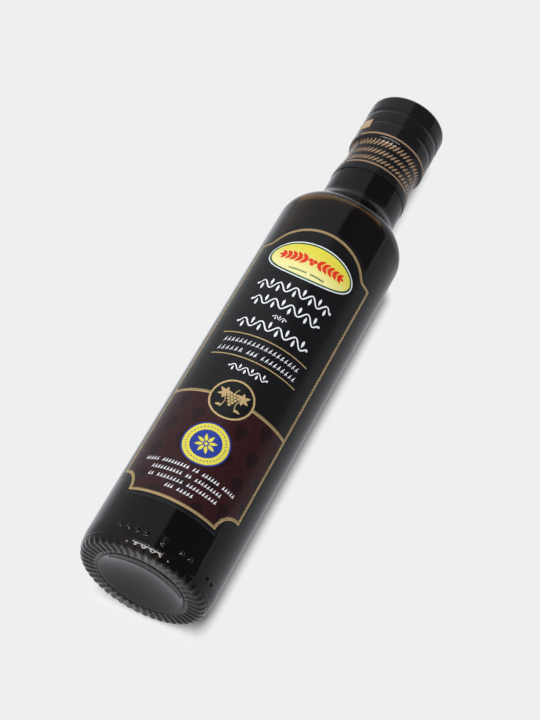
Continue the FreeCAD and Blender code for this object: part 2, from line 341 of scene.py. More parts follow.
class BottleColours(bpy.types.PropertyGroup):
    """Colours of the bottle, as linear values."""

    glass: colour("Glass", "Tint of the brown glass at the shoulder", (0.19, 0.095, 0.026))
    thick_glass: colour("Thick glass", "Tint of the glass at the heel", (0.010, 0.004, 0.0015))
    vinegar: colour("Vinegar", "The dark liquid", (0.012, 0.005, 0.003))
    paper: colour("Label black", "The upper field", (0.0035, 0.0035, 0.0042))
    maroon: colour("Label maroon", "The lower field", (0.020, 0.0036, 0.0046))
    maroon_dark: colour("Maroon shadow", "Blotches in the lower field", (0.0055, 0.0022, 0.0026))
    gold: colour("Gold", "The gold print of the label", (0.57, 0.41, 0.195))
    neck_gold: colour("Neck gold", "The gold print of the capsule", (0.40, 0.26, 0.155))
    capsule: colour("Capsule", "The black capsule", (0.004, 0.004, 0.005))
    tab: colour("Tear tab", "The tan tear tab", (0.43, 0.29, 0.175))
    white: colour("White ink", "Pale print", (0.66, 0.68, 0.72))
    edge: colour("Cut edge", "Cut edge of the label paper", (0.055, 0.057, 0.06))
    yellow: colour("Yellow", "Badge and seal", (0.56, 0.50, 0.05))
    cream: colour("Cream", "Pale part of the badge", (0.66, 0.63, 0.30))
    green: colour("Green", "Line of the badge", (0.012, 0.07, 0.024))
    blue: colour("Blue", "Disc of the seal", (0.012, 0.03, 0.22))
    red: colour("Red", "Motif of the badge", (0.56, 0.026, 0.010))


GROUPS = {
    "bottle_sizes": BottleSizes,
    "capsule_sizes": CapsuleSizes,
    "label_sizes": LabelSizes,
    "bottle_colours": BottleColours,
}


class Sizes:
    """Reads a property group's lengths as millimetres and its angles as radians."""

    def __init__(self, group):
        self.group = group

    def __getattr__(self, name):
        value = getattr(self.group, name)
        kind = self.group.bl_rna.properties[name]
        if kind.subtype == "DISTANCE":
            return value / MM
        return value


def bottle():
    return Sizes(bpy.context.scene.bottle_sizes)


def capsule():
    return Sizes(bpy.context.scene.capsule_sizes)


def label():
    return Sizes(bpy.context.scene.label_sizes)


def tint(name):
    return tuple(getattr(bpy.context.scene.bottle_colours, name))


# ---------------------------------------------------------------- shapes
def sweep(centre, radius, start, end, count):
    """Points of an arc in (s, r); angles in degrees from the axis direction."""
    points = []
    for i in range(count + 1):
        t = math.radians(start + (end - start) * i / count)
        points.append((centre[0] + radius * math.cos(t), centre[1] + radius * math.sin(t)))
    return points


def three_point(a, mid, b, count):
    """Points on the circle through three points."""
    ax, ay = a
    bx, by = mid
    cx, cy = b
    d = 2 * (ax * (by - cy) + bx * (cy - ay) + cx * (ay - by))
    ux = ((ax * ax + ay * ay) * (by - cy) + (bx * bx + by * by) * (cy - ay)
          + (cx * cx + cy * cy) * (ay - by)) / d
    uy = ((ax * ax + ay * ay) * (cx - bx) + (bx * bx + by * by) * (ax - cx)
          + (cx * cx + cy * cy) * (bx - ax)) / d
    r = math.hypot(ax - ux, ay - uy)
    t0 = math.atan2(ay - uy, ax - ux)
    turn = (math.atan2(cy - uy, cx - ux) - t0 + math.pi) % (2 * math.pi) - math.pi
    return [
        (ux + r * math.cos(t0 + turn * i / count), uy + r * math.sin(t0 + turn * i / count))
        for i in range(count + 1)
    ]


def run(a, b, count):
    """Evenly spaced points on a straight line."""
    return [
        (a[0] + (b[0] - a[0]) * i / count, a[1] + (b[1] - a[1]) * i / count)
        for i in range(count + 1)
    ]


def eased_run(a, b, count):
    """Points on a straight line, close together at its ends so that bends stay crisp."""
    shares = [(1 - math.cos(math.pi * i / count)) / 2 for i in range(count + 1)]
    return [(a[0] + (b[0] - a[0]) * k, a[1] + (b[1] - a[1]) * k) for k in shares]


def level_curve(a, b, count, dip=0.0):
    """An S curve that leaves and arrives along the axis."""
    points = []
    for i in range(count + 1):
        t = i / count
        ease = t * t * (3 - 2 * t)
        sag = dip * math.sin(math.pi * t) ** 2
        points.append((a[0] + (b[0] - a[0]) * t, a[1] + (b[1] - a[1]) * ease - sag))
    return points


def chain(*parts):
    """Joins runs of points and drops the doubled ones."""
    points = []
    for part in parts:
        for p in part:
            if not points or math.dist(p, points[-1]) > 1e-4:
                points.append(p)
    return points


def shoulder_points(inset, end_r):
    """The shoulder, set in from the outside by a wall."""
    b = bottle()
    a = b.slope
    r1 = b.body_r - b.shoulder_r * (1 - math.cos(a))
    r2 = b.neck_r + b.fillet * (1 - math.cos(a))
    s1 = b.shoulder_s + b.shoulder_r * math.sin(a)
    s2 = s1 + (r1 - r2) / math.tan(a)
    c1 = (b.shoulder_s, b.body_r - b.shoulder_r)
    c2 = (s2 + b.fillet * math.sin(a), b.neck_r + b.fillet)
    deg = math.degrees(a)
    upper = sweep(c1, b.shoulder_r - inset, 90, 90 - deg, 26)
    lower = sweep(c2, b.fillet + inset, 270 - deg, 270, 26)
    points = chain(upper, eased_run(upper[-1], lower[0], 8), lower)
    if abs(points[-1][1] - end_r) > 1e-3:
        points.append((points[-1][0] + 3.0, end_r))
    return points


def outer_points():
    """The outside of the glass from the middle of the push-up to the rim."""
    b = bottle()
    ring_in = (b.foot_s, b.ring_r - b.ring_half)
    ring_out = (b.foot_s, b.ring_r + b.ring_half)
    lip = (b.foot_s + 0.22, b.step_r + 0.7)
    step = (b.step_s, b.step_r)
    dome_mid = (b.step_s + (b.push_up - b.step_s) * 0.75, b.step_r * 0.5)
    heel = []
    tall = b.heel_s - b.foot_s
    wide = b.body_r - b.foot_r
    for i in range(29):
        t = math.radians(90 * i / 28)
        heel.append((b.heel_s - tall * math.cos(t), b.foot_r + wide * math.sin(t)))
    heel = refine(heel, b.parting_s - 0.5, b.parting_s + 0.5, 0.1)
    heel = refine(heel, b.mark_s - 1.8, b.mark_s + 1.8, 0.15)
    rim_low = (b.rim_s - b.rim_round, b.waist_r)
    k = b.rim_round * (1 - HALF)
    rim_in = (b.rim_s, b.waist_r - b.rim_round)
    return chain(
        three_point((b.push_up, 0.0), dome_mid, step, 24),
        run(step, lip, 2),
        run(lip, ring_in, 2),
        three_point(ring_in, (0.0, b.ring_r), ring_out, 8),
        run(ring_out, (b.foot_s, b.foot_r), 12),
        heel,
        eased_run(heel[-1], (b.shoulder_s, b.body_r), 16),
        shoulder_points(0, b.neck_r),
        eased_run(shoulder_points(0, b.neck_r)[-1], (b.waist_s - 11.2, b.neck_r), 8),
        [(b.waist_s, b.waist_r)],
        three_point(rim_low, (b.rim_s - k, b.waist_r - k), rim_in, 4),
    )


def refine(points, low, high, spacing):
    """Adds points along s where fine relief stands on the surface."""
    fine = []
    for a, b in zip(points, points[1:]):
        fine.append(a)
        if a[0] < high and b[0] > low:
            count = max(1, math.ceil((b[0] - a[0]) / spacing))
            fine += run(a, b, count)[1:-1]
    return fine + [points[-1]]


def cavity_points(grow=0.0):
    """The inside of the glass from the floor to the mouth; grow widens it."""
    b = bottle()
    r = b.body_r - b.wall + grow
    floor = b.push_up + b.floor_wall - grow
    low = b.foot_s + b.floor_wall - grow
    k = b.inner_heel * (1 - HALF)
    foot = (low, r - b.inner_heel)
    side = (low + b.inner_heel, r)
    dome_mid = (low + (floor - low) * 0.75, foot[1] * 0.5)
    neck = shoulder_points(b.wall - grow, b.neck_r - b.neck_wall + grow)
    bore = (b.rim_s - b.mouth_taper, b.mouth_r + grow)
    top = (bore[0] - b.mouth_taper, b.waist_r - b.neck_wall + grow)
    edge = capsule().edge_s
    return chain(
        three_point((floor, 0.0), dome_mid, foot, 14),
        three_point(foot, (low + k, r - k), side, 12),
        run(side, (b.shoulder_s, r), 8),
        neck,
        [(edge, neck[-1][1]), top, bore, (b.rim_s, b.mouth_r + grow)],
    )


def capsule_points():
    """The outside of the capsule from its cut edge to the middle of its top."""
    c = capsule()
    b = bottle()
    skin_r = b.neck_r + c.skin
    waist_r = b.waist_r + c.skin
    start = (c.edge_s + c.edge_run, skin_r)
    waist = (b.waist_s + 1.0, waist_r)
    slope = level_curve(start, waist, 24, 0.1 * (skin_r - waist_r))
    step = level_curve((c.step_s, waist_r), (c.step_s + c.step, c.skirt_r), 18)
    skirt = []
    here = step[-1]
    for middle in c.grooves:
        middle /= MM
        low = (middle, c.skirt_r - c.groove_deep)
        first = (middle - c.groove_half, c.skirt_r)
        last = (middle + c.groove_half, c.skirt_r)
        skirt += eased_run(here, first, 4)
        skirt += level_curve(first, low, 10) + level_curve(low, last, 10)
        here = last
    skirt += eased_run(here, (b.total - c.top_round, c.skirt_r), 5)
    top = three_point(
        (b.total - c.top_round, c.skirt_r),
        (b.total - c.top_round * (1 - HALF), c.skirt_r - c.top_round * (1 - HALF)),
        (b.total, c.skirt_r - c.top_round),
        12,
    )
    return chain(
        [(c.edge_s, skin_r - 0.15), (c.edge_s, skin_r - 0.04), (c.edge_s + 0.06, skin_r)],
        eased_run((c.edge_s + 0.06, skin_r), start, 3), slope, eased_run(waist, step[0], 5),
        step, skirt, top, eased_run(top[-1], (b.total, 0.0), 8),
    )


def soft_most(a, b, soft):
    """The larger of two values with a rounded change between them."""
    h = max(soft - abs(a - b), 0) / soft
    return max(a, b) + h * h * soft / 4


def rise(value, low, high):
    """0 below low, 1 above high, smooth between."""
    t = min(max((value - low) / (high - low), 0.0), 1.0)
    return t * t * (3 - 2 * t)


def foot_relief(s, r, turn):
    """Moves a point of the foot out onto the ribs."""
    b = bottle()
    inner = b.ring_r + b.ring_half
    if s > 4.0 or r <= inner:
        return s, r
    off = abs((turn * b.rib_count / (2 * math.pi)) % 1.0 - 0.5) * 2
    bulge = b.rib_r * (1 - off ** 2.4) * rise(r, inner - 0.2, inner + 1.1)
    centre = (b.rib_r + b.rib_bend, b.rib_bend_r)
    if r <= centre[1]:
        return centre[0] - soft_most(centre[0] - s, b.rib_bend + bulge, 0.25), r
    ds, dr = s - centre[0], r - centre[1]
    here = math.hypot(ds, dr)
    tail = 1 + 0.2 * rise(math.atan2(dr, -ds), 0.5, 1.4)
    out = soft_most(here, b.rib_bend + bulge * tail, 0.25)
    if out - here < 1e-4:
        return s, r
    return centre[0] + ds * out / here, centre[1] + dr * out / here


MARK_DOTS = (0, 1, 2, 3, 7, 8, 11, 12)
MARK_DASH = 5


def mark_relief(s, turn):
    """How far the raised dots and the dash stand out at this spot."""
    b = bottle()
    if abs(s - b.mark_s) > 2.2:
        return 0.0
    place = (b.mark_first - turn) / b.mark_pitch
    near = round(place)
    if near not in MARK_DOTS and near != MARK_DASH:
        return 0.0
    across = (place - near) * b.mark_pitch * b.body_r
    along = s - b.mark_s
    if near == MARK_DASH:
        along = max(0.0, abs(along) - 0.7)
    d2 = across ** 2 + along ** 2
    if d2 >= b.mark_r ** 2:
        return 0.0
    return max(0.0, math.sqrt(b.mark_r ** 2 - d2) - b.mark_sink)


def on_bottle(s, r, turn):
    """Row-frame position, in metres; turn is 0 straight up and grows to +Y."""
    b = bottle()
    return (
        (s - b.total / 2) * MM,
        r * math.sin(turn) * MM,
        (r * math.cos(turn) + b.body_r - b.flat) * MM,
    )


def new_piece(name, vertices, faces, finish, replaced=(), smooth=True):
    """Makes an object that rides on the root body."""
    mesh = bpy.data.meshes.new(name)
    mesh.from_pydata(vertices, [], faces)
    mesh.validate()
    mesh.materials.append(finish)
    piece = bpy.data.objects.new(name, mesh)
    bpy.context.scene.collection.objects.link(piece)
    for polygon in mesh.polygons:
        polygon.use_smooth = smooth
    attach(piece, "root")
    if replaced:
        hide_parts(*replaced)
    return piece


def turned(points, around, relief=None, fine=None, flat=True):
    """Vertices and faces of a turned surface; rows that fine picks have three times the points."""
    vertices = []
    rows = []
    for k, (s, r) in enumerate(points):
        if r < 1e-6:
            rows.append([len(vertices)])
            vertices.append(on_bottle(s, 0.0, 0.0))
            continue
        count = around * 3 if fine and fine(k) else around
        row = []
        for i in range(count):
            turn = 2 * math.pi * i / count
            at = relief(s, r, turn) if relief else (s, r)
            x, y, z = on_bottle(at[0], at[1], turn)
            row.append(len(vertices))
            vertices.append((x, y, max(z, 0.0) if flat else z))
        rows.append(row)
    faces = []
    for low, high in zip(rows, rows[1:]):
        long, short = (low, high) if len(low) >= len(high) else (high, low)
        if len(short) == 1:
            faces += [(short[0], a, b) for a, b in zip(long, long[1:] + long[:1])]
            continue
        share = len(long) // len(short)
        for i in range(len(short)):
            edge = [long[(i * share + j) % len(long)] for j in range(share + 1)]
            faces.append(edge + [short[(i + 1) % len(short)], short[i]])
    return vertices, faces


# ---------------------------------------------------------------- the label's outline
def label_half(grow):
    """Right half of the outline as (w, s), from the middle of the foot upwards."""
    m = label()
    half = m.half + grow
    bottom = m.bottom - grow
    top = m.side_top + grow
    ear_end = half - m.ear
    foot = ear_end - m.arch_foot
    centre = (half, bottom)
    notch = []
    for i in range(17):
        t = math.radians(180 - 90 * i / 16)
        notch.append((centre[0] + m.notch * math.cos(t), centre[1] + m.notch * math.sin(t)))
    arch = [(ear_end, top)]
    for share in [0.9 - 0.03 * i for i in range(30)] + [0.0]:
        up = (1 - share ** 2) ** m.arch_power
        arch.append((foot * share, top + (m.arch_top + grow - top) * up))
    arch = ease_foot(arch)
    return chain(
        run((0.0, bottom), (half - m.notch, bottom), 28),
        notch,
        run((half, bottom + m.notch), (half, top), 60),
        run((half, top), (ear_end, top), 6),
        arch,
    )


def ease_foot(arch):
    """Rounds the run from the level ear into the rising arch."""
    a, b = arch[0], arch[1]
    slope = (arch[1][1] - arch[2][1]) / (arch[1][0] - arch[2][0])
    eased = []
    for i in range(9):
        t = i / 8
        h00 = 2 * t ** 3 - 3 * t ** 2 + 1
        h01 = -2 * t ** 3 + 3 * t ** 2
        h11 = t ** 3 - t ** 2
        w = a[0] + (b[0] - a[0]) * t
        s = h00 * a[1] + h01 * b[1] + h11 * slope * (b[0] - a[0])
        eased.append((w, s))
    return eased + arch[2:]


def lower_edge(w, grow):
    """s of the outline's lower edge, with its hollow corners."""
    m = label()
    bottom = m.bottom - grow
    inside = m.half + grow - abs(w)
    if inside >= m.notch:
        return bottom
    return bottom + math.sqrt(max(0.0, m.notch ** 2 - inside ** 2))


def upper_edge(w, grow):
    """s of the outline's upper edge, read off its points."""
    upper = [p for p in label_half(grow) if p[1] >= label().side_top]
    for a, b in zip(upper, upper[1:]):
        if b[0] <= w <= a[0] and a[0] > b[0]:
            return b[1] + (a[1] - b[1]) * (w - b[0]) / (a[0] - b[0])
    return upper[-1][1] if w < upper[-1][0] else upper[0][1]


def label_outline(grow):
    right = label_half(grow)
    left = [(-w, s) for w, s in reversed(right)]
    return chain(right, left)[:-1]


def skin_radius(points):
    """A function that gives the radius of a turned profile at s."""
    line = [p for p in points if p[1] > 0]

    def radius(s):
        for a, b in zip(line, line[1:]):
            if a[0] <= s <= b[0] and b[0] > a[0]:
                return a[1] + (b[1] - a[1]) * (s - a[0]) / (b[0] - a[0])
        return line[-1][1]

    return radius


class Print:
    """Flat figures laid on a turned surface; lifts keep the layers apart."""

    def __init__(self, radius, turn, unit):
        self.radius = radius
        self.turn = turn
        self.unit = unit
        self.vertices = []
        self.faces = []
        self.places = []

    def point(self, w, s, lift):
        turn = self.turn - w / self.unit
        self.vertices.append(on_bottle(s, self.radius(s) + lift, turn))
        self.places.append((w, s))
        return len(self.vertices) - 1

    def strip(self, left, right, lift):
        """A band between two lines of the same number of points."""
        a = [self.point(w, s, lift) for w, s in left]
        b = [self.point(w, s, lift) for w, s in right]
        for i in range(len(a) - 1):
            self.faces.append((a[i], a[i + 1], b[i + 1], b[i]))

    def stroke(self, points, wide, lift, closed=False):
        """A line of even width along points, mitred at its corners."""
        left, right = [], []
        n = len(points)
        for i, (w, s) in enumerate(points):
            before = points[i - 1] if i or closed else None
            after = points[(i + 1) % n] if i < n - 1 or closed else None
            ways = []
            if before:
                ways.append((w - before[0], s - before[1]))
            if after:
                ways.append((after[0] - w, after[1] - s))
            normals = []
            for dx, dy in ways:
                d = math.hypot(dx, dy) or 1.0
                normals.append((-dy / d, dx / d))
            nx = sum(k[0] for k in normals) / len(normals)
            ny = sum(k[1] for k in normals) / len(normals)
            d2 = max(nx * nx + ny * ny, 0.25)
            nx, ny = nx / d2 * wide / 2, ny / d2 * wide / 2
            left.append((w + nx, s + ny))
            right.append((w - nx, s - ny))
        if closed:
            left.append(left[0])
            right.append(right[0])
        self.strip(left, right, lift)

    def field(self, columns, lift, rows=1):
        """A filled area given as (w, low s, high s) columns."""
        lines = []
        for k in range(rows + 1):
            lines.append([(w, lo + (hi - lo) * k / rows) for w, lo, hi in columns])
        ids = [[self.point(w, s, lift) for w, s in line] for line in lines]
        for low, high in zip(ids, ids[1:]):
            for i in range(len(low) - 1):
                self.faces.append((low[i], low[i + 1], high[i + 1], high[i]))

    def oval(self, w, s, half_w, half_s, lift, count=48, rows=1):
        columns = []
        for i in range(count + 1):
            t = math.pi * i / count
            up = half_s * math.sin(t)
            columns.append((w - half_w * math.cos(t), s - up, s + up))
        self.field(columns, lift, rows)

    def ring(self, w, s, outer, inner, lift, count=72):
        """A ring; outer and inner are (half width, half height)."""
        rows = math.ceil(abs(outer[0] - inner[0]) / 0.5)
        lines = []
        for k in range(rows + 1):
            hw, hs = (a + (b - a) * k / rows for a, b in zip(outer, inner))
            line = []
            for i in range(count + 1):
                t = 2 * math.pi * i / count
                line.append((w + hw * math.cos(t), s + hs * math.sin(t)))
            lines.append(line)
        for a, b in zip(lines, lines[1:]):
            self.strip(a, b, lift)

    def leaf(self, w, s, long, wide, lean, lift):
        """A pointed leaf that grows from (w, s) along the angle lean, in degrees."""
        c, d = math.cos(math.radians(lean)), math.sin(math.radians(lean))
        lines = ([], [])
        for i in range(9):
            x = long * i / 8
            half = wide * math.sin(math.pi * (i / 8) ** 0.8) + 0.01
            for line, y in zip(lines, (half, -half)):
                line.append((w + x * c - y * d, s + x * d + y * c))
        self.strip(lines[0], lines[1], lift)

    def make(self, name, finish, slot):
        piece = new_piece(name, self.vertices, self.faces, finish)
        layer = piece.data.uv_layers.new(name="print")
        for loop in piece.data.loops:
            layer.data[loop.index].uv = self.places[loop.vertex_index]
        face_out(piece)
        return piece


def face_out(piece):
    """Turns every face of a thin figure away from the bottle's axis."""
    b = bottle()
    axis_z = (b.body_r - b.flat) * MM
    mesh = bmesh.new()
    mesh.from_mesh(piece.data)
    mesh.normal_update()
    wrong = []
    for f in mesh.faces:
        middle = f.calc_center_median()
        out = Vector((0, middle.y, middle.z - axis_z))
        if f.normal.dot(out) < 0:
            wrong.append(f)
    bmesh.ops.reverse_faces(mesh, faces=wrong)
    mesh.to_mesh(piece.data)
    mesh.free()


def wrap(piece):
    """Turns the faces of a closed piece outwards."""
    mesh = bmesh.new()
    mesh.from_mesh(piece.data)
    bmesh.ops.recalc_face_normals(mesh, faces=mesh.faces[:])
    mesh.to_mesh(piece.data)
    mesh.free()


def label_print():
    """An empty page that lies on the label."""
    m = label()
    return Print(lambda s: bottle().body_r + m.thick, m.turn, bottle().body_r)


# ---------------------------------------------------------------- ornament figures
def vine(page, s, high, wide, bends, thick, lift):
    """A wavy stem with a seed standing in each bend and a berry at either end."""
    sway = high * 0.3
    stem = []
    for i in range(bends * 10 + 1):
        t = i / (bends * 10)
        stem.append((wide * (t - 0.5), s + sway * math.sin(math.pi * bends * t)))
    page.stroke(stem, thick * 0.62, lift)
    for k in range(bends):
        w = wide * ((k + 0.5) / bends - 0.5)
        side = 1 if k % 2 == 0 else -1
        page.leaf(w, s - side * high * 0.5, high * 0.58, thick * 0.55, side * 90, lift)
    for end in (-1, 1):
        page.oval(end * (wide / 2 + thick * 0.6), s, thick * 0.62, thick * 0.62, lift, 12)


def wheat(page, s, high, wide, groups, thick, lift):
    """Slanting leaves with seeds between them, in runs of the given shares with gaps between."""
    gap = 1.3
    room = wide - gap * (len(groups) - 1)
    w = -wide / 2
    for share in groups:
        span = room * share / sum(groups)
        count = max(1, round(span / (high * 0.62)))
        for k in range(count):
            start = w + span * (k + 0.15) / count
            page.leaf(start, s - high * 0.46, high * 0.98, thick * 0.4, 68, lift)
            seed = start + span * 0.52 / count
            page.oval(seed, s - high * 0.22, thick * 0.36, thick * 0.5, lift, 10)
        w += span + gap


# ---------------------------------------------------------------- finishes
def glass_finish():
    f = material("brown bottle glass")
    spot = f.place()
    wave = f.noise(spot, 0.035, 2.0)
    x, _, _ = f.axes(spot)
    brown = f.mix(x.step(-90.0, 30.0), tint("thick_glass"), tint("glass"))
    return f.surface(
        Base_Color=brown, Roughness=0.0, IOR=1.5, Transmission_Weight=1.0,
        Normal=f.bump(wave, 0.00012, 0.35),
    )


def vinegar_finish():
    f = material("dark vinegar")
    spot = f.place()
    cloud = f.noise(spot, 0.05, 3.0)
    deep = tint("vinegar")
    return f.surface(
        Base_Color=f.mix(cloud.step(0.3, 0.8), deep, [k * 1.6 for k in deep]),
        Roughness=0.08, IOR=1.34,
    )


def paper_finish(name, base):
    f = material(name)
    spot = f.place()
    grain = f.noise(spot, 2.2, 4.0)
    broad = f.noise(spot, 0.06, 2.0)
    return f.surface(
        Base_Color=f.mix(broad.step(0.3, 0.7), base, [k * 1.15 for k in base]),
        Roughness=0.2 + 0.08 * grain,
        Specular_IOR_Level=0.5,
        Normal=f.bump(grain, 0.00002, 0.35),
    )


def maroon_finish():
    """Dark red field with darker shields on a slanting lattice."""
    f = material("maroon label field")
    w, s, _ = f.print_place()
    col = w / 8.2 + 0.5
    row = s / 11.2
    odd = (col.floor() * 0.5).fract()
    u = col.fract() - 0.5
    v = (row + odd).fract() - 0.5
    across = u.abs() * 8.2
    up = v * 11.2
    shield = (across + (-up).most(0.0) * 0.55 + (up - 1.8).most(0.0) * 2.4)
    blotch = 1 - shield.step(2.0, 2.9)
    lattice = ((u.abs() + v.abs()) - 0.5).abs()
    line = 1 - lattice.step(0.02, 0.06)
    grain = f.noise(f.place(), 1.6, 4.0)
    base, dark = tint("maroon"), tint("maroon_dark")
    lighter = [min(1.0, k * 1.5) for k in base]
    tone = f.mix(line * 0.55, base, lighter)
    tone = f.mix(blotch * (0.55 + 0.35 * grain), tone, dark)
    tone = f.mix(grain.step(0.45, 0.75) * 0.25, tone, dark)
    return f.surface(
        Base_Color=tone, Roughness=0.22 + 0.08 * grain, Normal=f.bump(grain, 0.00002, 0.3)
    )


def gold_finish(name, base, hatch=None):
    """Printed gold; hatch is the pitch of fine slanting dark cuts in millimetres."""
    f = material(name)
    grain = f.noise(f.place(), 3.0, 3.0)
    tone = f.mix(grain.step(0.4, 0.8), [min(1.0, k * 1.08) for k in base], [k * 0.8 for k in base])
    height = grain
    if hatch:
        w, s, _ = f.print_place()
        height = ((w - 0.55 * s) * (2 * math.pi * 0.876 / hatch)).sin()
        tone = f.mix(height.step(-0.6, 0.1), [k * 0.06 for k in base], tone)
    return f.surface(
        Base_Color=tone, Metallic=0.5, Roughness=0.34 + 0.1 * grain,
        Normal=f.bump(height, 0.00002, 0.3),
    )


def ink_finish(name, base, rough=0.3):
    f = material(name)
    grain = f.noise(f.place(), 2.5, 3.0)
    return f.surface(
        Base_Color=f.mix(grain.step(0.35, 0.75), base, [k * 0.9 for k in base]),
        Roughness=rough + 0.08 * grain,
        Normal=f.bump(grain, 0.00001, 0.3),
    )


def badge_finish():
    """Yellow at the top and right, turning to cream along the lower edge."""
    f = material("badge yellow")
    w, s, _ = f.print_place()
    m = label()
    far = (s - m.badge_s) * (0.55 / m.badge_high) + w * (0.14 / m.badge_half) + 0.5
    grain = f.noise(f.place(), 2.5, 3.0)
    tone = f.mix(far.step(0.0, 0.85), tint("cream"), tint("yellow"))
    return f.surface(Base_Color=tone, Roughness=0.3 + 0.08 * grain)


def capsule_finish():
    """Black shrink film: slight creases run along the neck and the step."""
    f = material("black capsule film")
    spot = f.place()
    x, _, _ = f.axes(spot)
    b, c = bottle(), capsule()
    middle = b.total / 2
    stretched = f.node(
        "ShaderNodeVectorMath", {"operation": "MULTIPLY"}, {0: spot, 1: (0.25, 1.0, 1.0)}
    )
    crease = f.noise(f.out(stretched), 0.55, 3.0)
    low = (x + middle - c.edge_s).step(0.0, 8.0)
    high = 1 - (x + middle - c.step_s).step(3.0, 8.0)
    grain = f.noise(spot, 3.0, 3.0)
    base = tint("capsule")
    return f.surface(
        Base_Color=f.mix(grain.step(0.4, 0.8), base, [k * 1.3 for k in base]),
        Roughness=0.09 + 0.06 * grain,
        Normal=f.bump(crease * low * high + grain * 0.01, 0.0003, 0.45),
    )


def floor_finish():
    """Pale floor: to the camera even away from the bottle, shaded only in a strip close round it;
    in reflections it carries painted light, brighter close to the bottle, most on its left, and
    dimmer farther off.
    """
    f = material("pale studio floor")
    b = bottle()
    x, y, _ = f.axes(f.place())
    base_in, half_wide, slimmer, taper, fade = 4.0, 17.5, 12.0, 22.0, 6.5
    past_end = (x - b.total / 2).most(-x - (b.total / 2 - base_in)).most(0.0)
    shoulder = b.shoulder_s - b.total / 2
    narrow = slimmer * x.step(shoulder, shoulder + taper)
    past_side = (y.abs() - half_wide + narrow).most(0.0)
    away = (past_end * past_end + past_side * past_side).math("SQRT")
    far = away.step(0.0, fade)
    # painted light seen only in reflections: the floor is brighter close to the bottle, more on its
    # left side, and dimmer with distance
    left = y / 100
    left = left * left
    painted_pool_left = 0.50 / (left * left + 1)
    right = y / 60
    painted_pool_right = 0.24 / (right * right + 1)
    is_left = y.step(-20.0, 20.0)
    painted_floor_light = 0.36 + 0.07 * is_left + painted_pool_left * is_left + painted_pool_right * (1 - is_left)
    path = f.node("ShaderNodeLightPath")
    glossy = f.out(path, "Is Glossy Ray")
    seen = (f.out(path, "Is Camera Ray") + glossy + f.out(path, "Is Transmission Ray")).least(1.0)
    level = f.mix(glossy, PALE, f.mix(painted_floor_light, (0, 0, 0), (0.97, 1.0, 1.05)))
    diffuse = f.node("ShaderNodeBsdfDiffuse", None, {"Color": (0.84, 0.84, 0.84, 1.0)})
    even = f.node("ShaderNodeEmission", None, {"Color": level, "Strength": 1.0})
    both = f.node("ShaderNodeMixShader", None, {0: seen * far, 1: f.out(diffuse), 2: f.out(even)})
    f.node("ShaderNodeOutputMaterial", None, {"Surface": f.out(both)})
    return f.owner


# ---------------------------------------------------------------- operators
class StageOperator(bpy.types.Operator):
    """Adds the floor, the soft studio light and the camera"""

    bl_idname = "bottle.stage"
    bl_label = "Stage"

    def execute(self, context):
        mesh = bpy.data.meshes.new("floor")
        size = 4.0
        corners = [(-size, -size, 0), (size, -size, 0), (size, size, 0), (-size, size, 0)]
        mesh.from_pydata(corners, [], [(0, 1, 2, 3)])
        floor = bpy.data.objects.new("floor", mesh)
        mesh.materials.append(floor_finish())
        context.scene.collection.objects.link(floor)
        self.world(context)
        self.lamp(context, "overhead softbox", (-0.43, 0.06, 1.20), (-0.06, 0, 0.03),
                  (0.36, 1.50), 24.0, 0.46, 0.0)
        self.lamp(context, "end strip", (-0.375, 0.03, 0.98), (-0.112, 0, 0.03),
                  (0.95, 0.2), 6.4, 0.0, 1.0)
        self.camera(context)
        context.scene.view_settings.view_transform = "Standard"
        return {"FINISHED"}

    def lamp(self, context, name, spot, target, size, power, diffuse, gloss):
        data = bpy.data.lights.new(name, "AREA")
        data.shape = "RECTANGLE"
        data.size, data.size_y = size
        data.energy = power
        data.diffuse_factor = diffuse
        data.specular_factor = gloss
        data.transmission_factor = 0.0
        lamp = bpy.data.objects.new(name, data)
        lamp.location = spot
        lamp.visible_diffuse = diffuse > 0
        lamp.visible_glossy = gloss > 0
        lamp.visible_transmission = False
        way = Vector(target) - Vector(spot)
        lamp.rotation_euler = way.to_track_quat("-Z", "Y").to_euler()
        context.scene.collection.objects.link(lamp)

    def world(self, context):
        """Bright on the bottle's left, dark on its right; plain pale where it is seen directly."""
        world = bpy.data.worlds.new("studio")
        context.scene.world = world
        f = Finish(world)
        _, y, z = f.axes(f.out(f.node("ShaderNodeTexCoord"), "Generated"))
        right = -y
        beyond = (right - 0.12 * z).step(-0.06, 0.03)
        above = (z - 0.04 * right).step(0.0, 0.05)
        dark = beyond * above
        tone = f.mix(dark, (0.43, 0.435, 0.455), (0.125, 0.125, 0.135))
        seen = f.out(f.node("ShaderNodeLightPath"), "Is Camera Ray")
        tone = f.mix(seen, tone, PALE)
        back = f.node("ShaderNodeBackground", None, {"Color": tone, "Strength": 1.0})
        f.node("ShaderNodeOutputWorld", None, {"Surface": f.out(back)})

    def camera(self, context):
        data = bpy.data.cameras.new("camera")
        data.sensor_fit = "VERTICAL"
        data.sensor_height = 24.0
        data.lens = 63.533333
        data.clip_start = 0.01
        camera = bpy.data.objects.new("camera", data)
        right = Vector((0.42925, -0.90318, 0.0))
        back = Vector((-0.52175, -0.24797, 0.81626)).normalized()
        up = back.cross(right)
        turn = Matrix((right, up, back)).transposed()
        camera.matrix_world = Matrix.Translation((-0.37202, -0.17057, 0.58698)) @ turn.to_4x4()
        context.scene.collection.objects.link(camera)
        context.scene.camera = camera


